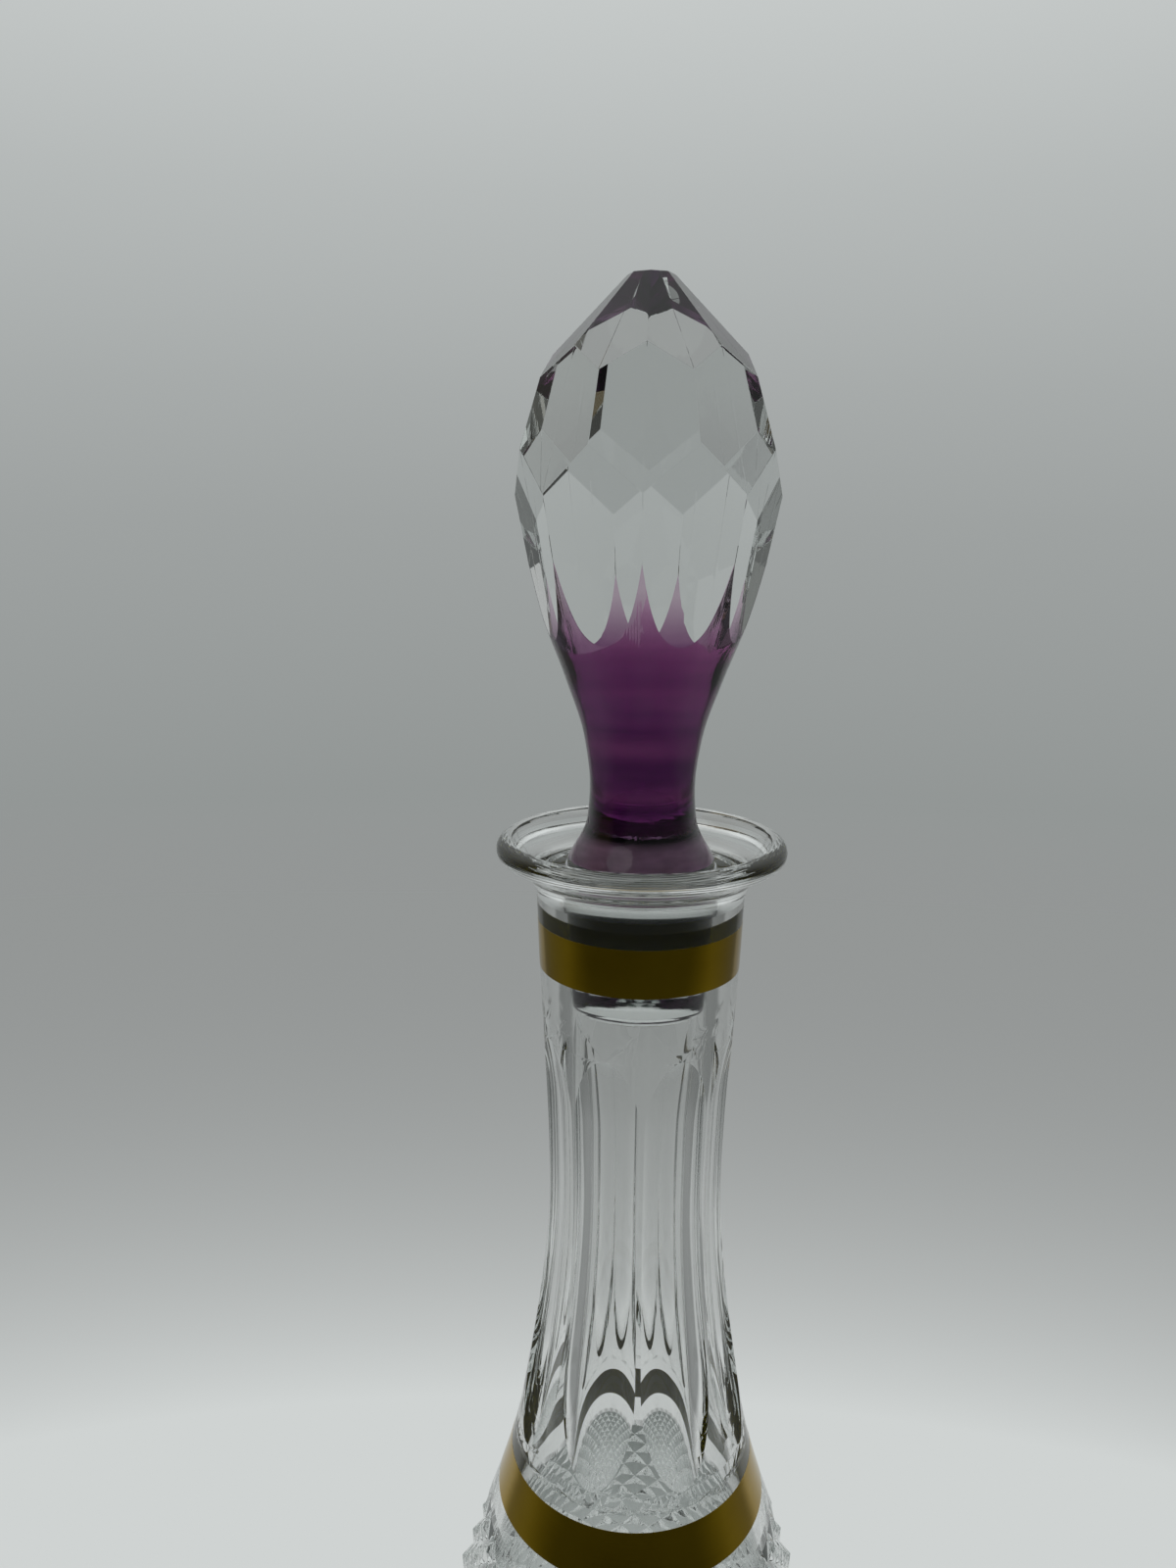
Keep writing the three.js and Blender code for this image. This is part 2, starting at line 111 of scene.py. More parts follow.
PLUG_END_RADIUS = 2.5
FOOT_FLARE_RADIUS = 13.1
STEM_FOOT = (8.5, 9.75)  # height above the seat's top, radius
STEM_WAIST = (14.5, 9.35)
STEM_TOP = (23.0, 10.35)
SWELL_LOWER = (33.5, 13.7)
SWELL_UPPER = (44.0, 17.65)
BLANK_WIDE = (72.0, 25.0)
STEM_STATIONS = (STEM_FOOT, STEM_WAIST, STEM_TOP, SWELL_LOWER, SWELL_UPPER, BLANK_WIDE)
TABLE_RADIUS = 3.55
CROWN_SLOPE = 0.917  # radius gained by each millimetre down, as all the slopes here
HEXAGON_TOP_DEPTH, HEXAGON_SLOPE = 12.4, 0.285
PANEL_TOP_DEPTH, PANEL_TOP_RADIUS = 27.9, 22.2
PANEL_BOTTOM_DEPTH, PANEL_BOTTOM_RADIUS = 58.8, 16.45
PANEL_HOLLOW = 0.05  # how deep a panel is hollowed halfway along
LAYER = 0.22  # thickness of the amethyst

COLUMNS = 256  # vertices round every piece, a multiple of both 8 and 32
ANGLES = np.arange(COLUMNS) * 2 * np.pi / COLUMNS
TURNED = CUT_TURN + ANGLES

# Round the knob the columns crowd in beside every ridge, where a narrow flat is polished.
RIDGES = 2 * CUTS
RIDGE_STEP = 2 * np.pi / RIDGES
RIDGE_EASE = 0.2 * np.pi / 180
EDGE_EASE = 0.07  # the same flat along the edges that run round the knob, as a height
ridge = np.arange(RIDGES)[:, None] * RIDGE_STEP
beside = RIDGE_EASE + (RIDGE_STEP - 2 * RIDGE_EASE) * np.linspace(0, 1, COLUMNS // RIDGES - 1)
KNOB_ANGLES = np.concatenate([ridge, ridge + beside], 1).ravel()
KNOB_TURN = -1.8 * np.pi / 180  # the stopper's cuts stand this far round from the front
KNOB_TURNED = KNOB_ANGLES + KNOB_TURN

# ---- Outlines ----------------------------------------------------------------------------


def fair(stations):
    """A radius as a smooth function of height through (height, radius) stations.

    Each stretch is a cubic whose end slopes are the harmonic mean of the chords on either
    side, so the curve never swings past a station.
    """
    z, r = np.array(stations, float).T
    chord = np.diff(r) / np.diff(z)
    before, after = chord[:-1], chord[1:]
    product = before * after
    total = np.where(product > 0, before + after, 1)
    inner = np.where(product > 0, 2 * product / total, 0)
    slope = np.concatenate([chord[:1], inner, chord[-1:]])

    def radius(height):
        i = np.clip(np.searchsorted(z, height) - 1, 0, len(z) - 2)
        h = z[i + 1] - z[i]
        t = np.clip((height - z[i]) / h, 0, 1)
        rise = t * t * (3 - 2 * t)
        lead, tail = t * (1 - t) ** 2, t * t * (t - 1)
        return r[i] + (r[i + 1] - r[i]) * rise + h * (slope[i] * lead + slope[i + 1] * tail)

    return radius


def through(points, count):
    """A smooth run of count points through a few (radius, height) points.

    Centripetal parameters are the running sum of the square roots of the distances, and
    both coordinates are joined by cubics with three-point end slopes.
    """
    points = np.array(points, float)
    gaps = np.linalg.norm(np.diff(points, axis=0), axis=1)
    knots = np.concatenate([[0], np.cumsum(gaps ** 0.5)])
    slopes = np.gradient(points, knots, axis=0, edge_order=2 if len(points) > 2 else 1)
    at = np.linspace(0, knots[-1], count)
    i = np.clip(np.searchsorted(knots, at) - 1, 0, len(knots) - 2)
    h = (knots[i + 1] - knots[i])[:, None]
    t = (at - knots[i])[:, None] / h
    first, last = points[i], points[i + 1]
    value = first + (last - first) * t * t * (3 - 2 * t)
    return value + h * (slopes[i] * t * (1 - t) ** 2 + slopes[i + 1] * t * t * (t - 1))


def levels(radius, start, end, count):
    """Points (radius, height) of a radius function at even heights."""
    z = np.linspace(start, end, count)
    return np.stack([radius(z), z], 1)


FLANK_RADIUS = BELLY_RADIUS - (BELLY_RADIUS - SHOULDER_RADIUS) * FLANK_SHARE

bottle_radius = fair([
    (HEEL_HEIGHT, HEEL_RADIUS),
    (BELLY_HEIGHT, BELLY_RADIUS),
    ((BELLY_HEIGHT + SHOULDER_HEIGHT) / 2, FLANK_RADIUS),
    (SHOULDER_HEIGHT, SHOULDER_RADIUS),
    (NECK_ROOT_HEIGHT, NECK_ROOT_RADIUS),
    (NECK_WAIST_HEIGHT, NECK_WAIST_RADIUS),
    (COLLAR_HEIGHT, COLLAR_RADIUS),
    (LIP_ROOT_HEIGHT, LIP_ROOT_RADIUS),
])

CAVITY_FLOOR = BASE_RECESS + BASE_THICKNESS
CAVITY_HEEL = CAVITY_FLOOR + HEEL_HEIGHT
cavity_radius = fair([
    (CAVITY_HEEL, HEEL_RADIUS - BODY_WALL),
    (BELLY_HEIGHT, BELLY_RADIUS - BODY_WALL),
    (SHOULDER_HEIGHT, SHOULDER_RADIUS - BODY_WALL),
    (NECK_ROOT_HEIGHT, NECK_ROOT_RADIUS - NECK_WALL),
    (NECK_WAIST_HEIGHT, NECK_WAIST_RADIUS - NECK_WALL),
    (SEAT_BOTTOM, SEAT_BOTTOM_RADIUS),
])

blank_radius = fair([
    (FLASH_BOTTOM, FOOT_FLARE_RADIUS),
    *[(SEAT_TOP + height, r) for height, r in STEM_STATIONS],
])

# ---- Meshes ------------------------------------------------------------------------------


def around(radius, height, angle=ANGLES):
    """A grid of points from radii and heights, rows along the outline and columns round it."""
    r, z, a = np.broadcast_arrays(radius, height, angle)
    return np.stack([r * np.cos(a), r * np.sin(a), z], -1)


def mesh_of(name, points, finishes, slots=None, lean=None, closed=False):
    """A mesh from a grid of points whose rows go round the axis.

    Each square becomes two triangles. lean says which diagonal splits it, and slots which
    of the finishes it has. The first and last row are single points on the axis, unless
    the outline is closed on itself.
    """
    rows, columns = points.shape[:2]
    index = np.arange(rows * columns).reshape(rows, columns)
    if not closed:
        index[0], index[-1] = index[0, 0], index[-1, 0]
    below = index if closed else index[:-1]
    above = np.roll(index, -1, axis=0) if closed else index[1:]
    a, b = below, np.roll(below, -1, axis=1)
    d, c = above, np.roll(above, -1, axis=1)
    lean = np.zeros(a.shape, bool) if lean is None else lean
    slots = np.zeros(a.shape, int) if slots is None else slots
    first = np.where(lean[..., None], np.stack([a, b, d], -1), np.stack([a, b, c], -1))
    second = np.where(lean[..., None], np.stack([b, c, d], -1), np.stack([a, c, d], -1))
    faces = np.concatenate([first.reshape(-1, 3), second.reshape(-1, 3)])
    slot = np.concatenate([slots.ravel(), slots.ravel()])
    whole = (faces != np.roll(faces, -1, axis=1)).all(1)
    faces, slot = faces[whole], slot[whole]
    used, faces = np.unique(faces, return_inverse=True)
    faces = faces.reshape(-1, 3)
    places = points.reshape(-1, 3)[used] * MM
    mesh = bpy.data.meshes.new(name)
    mesh.vertices.add(len(places))
    mesh.vertices.foreach_set("co", places.astype(np.float32).ravel())
    mesh.loops.add(faces.size)
    mesh.loops.foreach_set("vertex_index", faces.astype(np.int32).ravel())
    mesh.polygons.add(len(faces))
    mesh.polygons.foreach_set("loop_start", np.arange(0, faces.size, 3, dtype=np.int32))
    mesh.polygons.foreach_set("material_index", slot.astype(np.int32))
    mesh.update(calc_edges=True)
    mesh.validate()
    for finish in finishes:
        mesh.materials.append(finish)
    return mesh


CREASE = 5.5 * np.pi / 180  # edges sharper than this stay crisp


def piece(name, mesh, body, node):
    """Adds a finished mesh, smooth but for its creases, that stands for a CAD node."""
    mesh.shade_smooth()
    mesh.set_sharp_from_angle(angle=CREASE)
    made = bpy.data.objects.new(name, mesh)
    bpy.context.scene.collection.objects.link(made)
    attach(made, body)
    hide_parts(node)


# ---- Finishes ----------------------------------------------------------------------------


class Wire:
    """One socket of a finish, so that sums and products of sockets read as plain maths."""

    def __init__(self, tree, socket):
        self.tree, self.socket = tree, socket

    def maths(self, operation, *values):
        node = self.tree.nodes.new("ShaderNodeMath")
        node.operation = operation
        for place, value in zip(node.inputs, values):
            if isinstance(value, Wire):
                self.tree.links.new(value.socket, place)
            else:
                place.default_value = value
        return Wire(self.tree, node.outputs[0])

    def __add__(self, other):
        return self.maths("ADD", self, other)

    def __sub__(self, other):
        return self.maths("SUBTRACT", self, other)

    def __rsub__(self, other):
        return self.maths("SUBTRACT", other, self)

    def __mul__(self, other):
        return self.maths("MULTIPLY", self, other)

    def __pow__(self, other):
        return self.maths("POWER", self, other)

    __radd__, __rmul__ = __add__, __mul__

    def between(self, low, high):
        """0 below low, 1 above high, and a straight ramp in between."""
        ramp = self.maths("MULTIPLY_ADD", self, 1 / (high - low), -low / (high - low))
        return ramp.maths("MINIMUM", ramp.maths("MAXIMUM", ramp, 0.0), 1.0)


class Finish:
    """The nodes of a new material or of the room, and the one method that adds them."""

    def __init__(self, owner):
        self.owner = owner
        owner.use_nodes = True
        self.tree = owner.node_tree
        self.tree.nodes.clear()

    def node(self, kind, settings, inputs, output=0):
        """Adds a node of a kind, with its settings and then its inputs, and gives an output."""
        made = self.tree.nodes.new(kind)
        for key, value in settings.items():
            if key == "stops":
                self.set_stops(made.color_ramp, value)
            else:
                setattr(made, key, value)
        for key, value in inputs.items():
            if isinstance(value, Wire):
                self.tree.links.new(value.socket, made.inputs[key])
            else:
                made.inputs[key].default_value = value
        return Wire(self.tree, made.outputs[output])

    @staticmethod
    def set_stops(ramp, stops):
        while len(ramp.elements) < len(stops):
            ramp.elements.new(0.5)
        for element, (place, colour) in zip(ramp.elements, stops):
            element.position, element.color = place, (*colour, 1)

    def place(self, scale):
        """The object's own coordinates in metres, stretched for a pattern."""
        at = self.node("ShaderNodeTexCoord", {}, {}, "Object")
        return self.node("ShaderNodeMapping", {}, {"Vector": at, "Scale": scale})

    def along(self, axis, kind="Object"):
        """One of the object's coordinates in metres, or of the direction looked in."""
        at = self.node("ShaderNodeTexCoord", {}, {}, kind)
        return self.node("ShaderNodeSeparateXYZ", {}, {"Vector": at}, axis)

    def height(self):
        """Height above the foot ring in metres."""
        return self.along("Z")

    def noise(self, scale, detail=3.0, stretch=(1, 1, 1)):
        """Soft noise from 0 to 1, with scale in waves per metre."""
        return self.node(
            "ShaderNodeTexNoise", {},
            {"Vector": self.place(stretch), "Scale": scale, "Detail": detail, "Roughness": 0.5},
        )

    def mix(self, factor, first, second, blend="MIX"):
        """A colour between two others, which a factor of 0 or 1 gives unmixed."""
        return self.node(
            "ShaderNodeMix", {"data_type": "RGBA", "blend_type": blend},
            {"Factor": factor, "A": first, "B": second}, "Result",
        )

    def bump(self, height, strength, distance):
        """A normal from a height, whose full range stands for distance in metres."""
        return self.node(
            "ShaderNodeBump", {}, {"Height": height, "Strength": strength, "Distance": distance}
        )

    def finish(self, surface, volume=None):
        """Puts the surface, and perhaps what fills the piece, on the output."""
        kind = "World" if isinstance(self.owner, bpy.types.World) else "Material"
        made = self.tree.nodes.new("ShaderNodeOutput" + kind)
        self.tree.links.new(surface.socket, made.inputs["Surface"])
        if volume is not None:
            self.tree.links.new(volume.socket, made.inputs["Volume"])
        return self.owner


def material(name):
    """A new material, still without nodes."""
    return Finish(bpy.data.materials.new(name))


CRYSTAL_IOR = 1.545
CRYSTAL_TINT = (0.865, 0.881, 0.875, 1)  # lead crystal is faintly green-grey in the mass
CRYSTAL_DENSITY = 16.0
CLEAR = (0.99, 0.995, 0.992, 1)


def crystal_body(f):
    """The faint colour that light takes on its way through the glass."""
    return f.node(
        "ShaderNodeVolumeAbsorption", {}, {"Color": CRYSTAL_TINT, "Density": CRYSTAL_DENSITY}
    )


def polished_crystal():
    """Cut and polished glass: faint haze in patches, and a very slight ripple."""
    f = material("polished_crystal")
    haze = f.noise(90.0, 4.0).between(0.45, 0.75)
    ripple = f.bump(f.noise(60.0, 1.0), 0.05, 0.0003)
    surface = f.node(
        "ShaderNodeBsdfPrincipled", {},
        {"Base Color": CLEAR, "IOR": CRYSTAL_IOR, "Transmission Weight": 1.0,
         "Roughness": 0.002 + haze * 0.012, "Normal": ripple},
    )
    return f.finish(surface, crystal_body(f))


def blown_crystal():
    """The uncut glass of neck, lip and bore: a slow ripple down its length."""
    f = material("blown_crystal")
    ripple = f.noise(45.0, 2.0, (1, 1, 0.35)) * 0.7 + f.noise(170.0, 1.0, (1, 1, 0.2)) * 0.3
    surface = f.node(
        "ShaderNodeBsdfPrincipled", {},
        {"Base Color": CLEAR, "IOR": CRYSTAL_IOR, "Transmission Weight": 1.0,
         "Roughness": 0.004 + f.noise(70.0, 3.0).between(0.4, 0.8) * 0.012,
         "Normal": f.bump(ripple, 0.25, 0.0006)},
    )
    return f.finish(surface, crystal_body(f))


def ground_crystal():
    """The seat and the plug's side: ground to fit, with fine rings from the grinding."""
    f = material("ground_crystal")
    rings = f.noise(900.0, 2.0, (0.08, 0.08, 2.2))
    surface = f.node(
        "ShaderNodeBsdfPrincipled", {},
        {"Base Color": (0.98, 0.985, 0.98, 1), "IOR": CRYSTAL_IOR, "Transmission Weight": 1.0,
         "Roughness": 0.03 + rings * 0.07, "Normal": f.bump(rings, 0.1, 0.00003)},
    )
    return f.finish(surface, crystal_body(f))


def buried_crystal():
    """The clear glass where the amethyst is fused to it, which bends no light."""
    f = material("buried_crystal")
    surface = f.node("ShaderNodeBsdfTransparent", {}, {"Color": (1, 1, 1, 1)})
    return f.finish(surface, crystal_body(f))


AMETHYST_DEEP = (0.32, 0.14, 0.345, 1)
AMETHYST_PALE = (0.66, 0.40, 0.58, 1)
AMETHYST_SKIN, AMETHYST_SPOTS = (0.70, 0.46, 0.66, 1), (0.76, 0.50, 0.68, 1)
AMETHYST_TIPS = (0.92, 0.80, 0.89, 1)  # the skin at the ends of the spikes
AMETHYST_THIN = (0.88, 0.74, 0.84, 1)
AMETHYST_MILK = (0.85, 0.72, 0.86, 1)  # the foot's layer, thin and pale where it was ground
SPIKES = (40.5, 50.0)  # heights above the seat's top between which the layer thins out
MILK_TOP = (5.0, 6.6)  # and between which the pale foot ends
DEEP_TOP = 56.0  # and where the drawn bands of deeper colour end


def above_seat(f, low, high):
    """A straight ramp from 0 to 1 between two heights above the seat's top."""
    return f.height().between((SEAT_TOP + low) * MM, (SEAT_TOP + high) * MM)


def amethyst_strength(f):
    """How deep the layer's colour is: thickest at the stem's waist, in soft drawn bands."""
    lower = above_seat(f, FLASH_BOTTOM - SEAT_TOP, STEM_FOOT[0])
    upper = 1 - above_seat(f, STEM_WAIST[0], DEEP_TOP)
    bands = f.noise(230.0, 4.0, (0.12, 0.12, 1.0)).between(0.3, 0.7)
    return (0.12 + lower * (0.27 + upper * 0.5)) * (0.5 + bands * 0.95)


def toward_spikes(f):
    """0 on the stem, 1 at the spikes, where the layer thins out to nothing."""
    return above_seat(f, *SPIKES)


def amethyst_outside():
    """The polished outer face of the amethyst, with the fine drawn lines of the stem."""
    f = material("amethyst")
    drawn = f.noise(300.0, 1.0, (0.1, 0.1, 1.0))
    spots = f.noise(260.0, 2.0)
    colour = f.mix(spots.between(0.3, 0.75), AMETHYST_SKIN, AMETHYST_SPOTS)
    colour = f.mix(toward_spikes(f), colour, AMETHYST_TIPS)
    surface = f.node(
        "ShaderNodeBsdfPrincipled", {},
        {"Base Color": colour, "IOR": CRYSTAL_IOR, "Transmission Weight": 1.0,
         "Roughness": 0.006 + drawn * 0.012, "Normal": f.bump(drawn, 0.12, 0.0001)},
    )
    return f.finish(surface)


def amethyst_inside():
    """The inner face of the amethyst, where light that crosses the layer takes its colour."""
    f = material("amethyst_depth")
    pale = f.node("ShaderNodeBsdfTransparent", {}, {"Color": AMETHYST_PALE})
    deep = f.node("ShaderNodeBsdfTransparent", {}, {"Color": AMETHYST_DEEP})
    layer = f.node("ShaderNodeMixShader", {}, {0: amethyst_strength(f), 1: pale, 2: deep})
    thin = f.node("ShaderNodeBsdfTransparent", {}, {"Color": AMETHYST_THIN})
    layer = f.node("ShaderNodeMixShader", {}, {0: toward_spikes(f), 1: layer, 2: thin})
    foot = 1 - above_seat(f, *MILK_TOP)
    strokes = f.noise(420.0, 3.0, (0.35, 0.35, 1.3)).between(0.3, 0.7)
    milk = f.node("ShaderNodeBsdfDiffuse", {}, {"Color": AMETHYST_MILK})
    veil = foot * (0.5 + strokes * 0.4)
    surface = f.node("ShaderNodeMixShader", {}, {0: veil, 1: layer, 2: milk})
    return f.finish(surface)


GILT_DARK, GILT_LIGHT = (0.30, 0.187, 0.006, 1), (0.40, 0.26, 0.012, 1)
UNDERSIDE_DARK, UNDERSIDE_LIGHT = (0.27, 0.235, 0.010, 1), (0.36, 0.315, 0.016, 1)


def gilt():
    """Fired gold, burnished: cloudy in colour, with brush lines round the band and rubbing."""
    f = material("gilt")
    cloud = f.noise(55.0, 4.0).between(0.3, 0.7)
    brushed = f.noise(600.0, 3.0, (0.15, 0.15, 2.5))
    rubbed = f.noise(300.0, 5.0).between(0.62, 0.75)
    colour = f.mix(cloud, GILT_DARK, GILT_LIGHT)
    surface = f.node(
        "ShaderNodeBsdfPrincipled", {},
        {"Base Color": colour, "Metallic": 1.0,
         "Roughness": 0.09 + brushed * 0.07 + rubbed * 0.08,
         "Normal": f.bump(brushed, 0.12, 0.00004)},
    )
    return f.finish(surface)


def gilt_underside():
    """The side of the gold that was fired on to the glass: dull, dark and olive."""
    f = material("gilt_underside")
    cloud = f.noise(80.0, 4.0).between(0.3, 0.7)
    colour = f.mix(cloud, UNDERSIDE_DARK, UNDERSIDE_LIGHT)
    surface = f.node(
        "ShaderNodeBsdfPrincipled", {},
        {"Base Color": colour, "Specular IOR Level": 0.0, "Roughness": 0.6},
    )
    return f.finish(surface)


CRYSTAL = polished_crystal()
BLOWN = blown_crystal()
GROUND = ground_crystal()
BURIED = buried_crystal()
AMETHYST = amethyst_outside()
AMETHYST_DEPTH = amethyst_inside()
GILT = gilt()
GILT_UNDERSIDE = gilt_underside()

# ---- Bottle ------------------------------------------------------------------------------


def ease(t):
    """A quarter ellipse: 0 at 0, 1 from 1 on, upright at the start."""
    return np.sqrt(1 - (1 - np.clip(t, 0, 1)) ** 2)


def flute_rows(z):
    """Angles and radii of rows across the neck flutes.

    A flute is a hollow of round section whose edges meet the turned neck at a half angle
    that grows from nothing at either end, as the square root of a sine. Each sector's
    columns are spread so that one of them always runs along that edge, which stays clean.
    """
    widest = SECTOR / 2 - FLUTE_LAND
    lower = np.clip((z - FLUTE_BOTTOM) / FLUTE_LOWER_ARCH, 0, 1)
    upper = np.clip((FLUTE_TOP - z) / FLUTE_UPPER_ARCH, 0, 1)
    half = widest * np.sqrt(np.sin(lower * np.pi / 2) * np.sin(upper * np.pi / 2))
    across = np.interp(z, *FLUTE_HOLLOW)[:, None]
    per_sector = COLUMNS // CUTS
    inner = per_sector * 3 // 8
    column = np.arange(per_sector) - per_sector / 2
    share = np.clip(np.abs(column) / inner, 0, 1)
    beyond = np.clip((np.abs(column) - inner) / (per_sector / 2 - inner), 0, 1)
    cut = half > 0
    even = SECTOR / 2 * np.abs(column) / (per_sector / 2)
    spread = half[:, None] * share + (SECTOR / 2 - half[:, None]) * beyond
    settled = np.clip(-np.minimum(z - FLUTE_BOTTOM, FLUTE_TOP - z) / FLUTE_SETTLE, 0, 1)[:, None]
    plain = spread * (1 - settled) + even * settled
    offset = np.where(cut[:, None], spread, plain) * np.sign(column)
    r = bottle_radius(z)[:, None]
    chord = np.cos(half)[:, None] * r - (r * np.sin(half)[:, None]) ** 2 / (2 * across)
    cosine, sine = np.cos(offset), np.sin(offset)
    root = np.sqrt(cosine**2 - 2 * chord * sine**2 / across)
    hollow = 2 * chord / (cosine + root)
    inside = cut[:, None] & (np.abs(offset) <= half[:, None] + 1e-9)
    radius = np.where(inside, np.minimum(hollow, r), r)
    angle = CUT_TURN + (np.arange(CUTS)[:, None] + 0.5) * SECTOR + offset[:, None, :]
    return angle.reshape(len(z), -1), np.tile(radius, (1, CUTS))


def diamond_levels():
    """Heights of the diamond rows, and each one's place in diamonds up from the first.

    A diamond keeps its shape as the body widens, so its height goes with the radius.
    """
    z = np.linspace(DIAMOND_BOTTOM, DIAMOND_TOP, 2000)
    width = 2 * np.pi * bottle_radius(z) / DIAMONDS_ROUND
    slope = np.gradient(bottle_radius(z), z)
    density = np.sqrt(1 + slope**2) / (DIAMOND_ASPECT * width)
    place = np.concatenate([[0], np.cumsum((density[1:] + density[:-1]) / 2 * np.diff(z))])
    count = int(round(place[-1]))
    place *= count / place[-1]
    step = COLUMNS // DIAMONDS_ROUND
    v = np.arange(count * step + 1) / step
    return np.interp(v, place, z), v


def to_groove(x):
    """Distance of x from the nearest whole number."""
    return np.abs(x - np.round(x))


def diamond_rows():
    """Radii of the diamond field, and which way each of its squares is split.

    Two families of V grooves cross at an angle. The height of a point is its distance from
    the nearest groove, so each diamond is a small four-sided pyramid.
    """
    z, v = diamond_levels()
    u = np.arange(COLUMNS) / (COLUMNS // DIAMONDS_ROUND)
    up, down = to_groove(u + v[:, None]), to_groove(u - v[:, None])
    height = 2 * np.minimum(up, down)
    radius = bottle_radius(z)[:, None] - DIAMOND_DEPTH * (1 - height)
    middle_u, middle_v = u + 0.5 * u[1], (v[:-1] + 0.5 * v[1])[:, None]
    lean = to_groove(middle_u + middle_v) < to_groove(middle_u - middle_v)
    return z, radius, lean


def heel_rows(z):
    """Radii of the short upright flutes above the heel.

    Each is a hollow whose depth is a parabola across it, and ends in an arch both ways.
    """
    across = 1 - to_groove(ANGLES * HEEL_FLUTES / (2 * np.pi)) * 2
    upper, lower = HEEL_FLUTE_TOP - z, z - HEEL_FLUTE_BOTTOM
    arch = (ease(upper / HEEL_FLUTE_ARCH) * ease(lower / HEEL_FLUTE_ARCH))[:, None]
    inside = np.clip(1 - (across / np.maximum(arch, 1e-3)) ** 2, 0, 1)
    return bottle_radius(z)[:, None] - HEEL_FLUTE_DEPTH * inside * (arch > 0)


def base_rows(r):
    """Heights of the hollow base, where a star of wheel cuts runs out from the centre."""
    t = (r / RING_INSIDE)[:, None]
    dome = BASE_RECESS * np.sqrt(np.clip(1 - t**4, 0, 1))
    across = to_groove(ANGLES * STAR_POINTS / (2 * np.pi)) * 2
    width = np.clip(STAR_WIDTH * (1 - t), 1e-3, 1)
    ends = np.clip((STAR_REACH - t) * 8, 0, 1) * np.clip(t * 9, 0, 1)
    return dome + STAR_DEPTH * np.clip(1 - across / width, 0, 1) * ends


def lip_outline():
    """Flared underside, round crest, and the dish that leads down to the seat."""
    rim = LIP_THICKNESS / 2
    centre = np.array([LIP_RADIUS - rim, MOUTH - rim])
    spread, rise = LIP_RADIUS - LIP_ROOT_RADIUS, centre[1] - LIP_ROOT_HEIGHT
    underside = through([
        (LIP_ROOT_RADIUS, LIP_ROOT_HEIGHT),
        (LIP_ROOT_RADIUS + spread * 0.25, LIP_ROOT_HEIGHT + rise * 0.45),
        (centre[0] + rim * 0.5, centre[1] - rim * 0.87),
    ], 16)
    turn = np.radians(np.linspace(-60, 110, 18))[1:]
    crest = centre + rim * np.stack([np.cos(turn), np.sin(turn)], 1)
    dish = through([
        crest[-1],
        ((LIP_RADIUS + SEAT_TOP_RADIUS) / 2, SEAT_TOP + 0.8),
        (SEAT_TOP_RADIUS, SEAT_TOP),
    ], 16)[1:]
    return np.concatenate([underside, crest, dish])


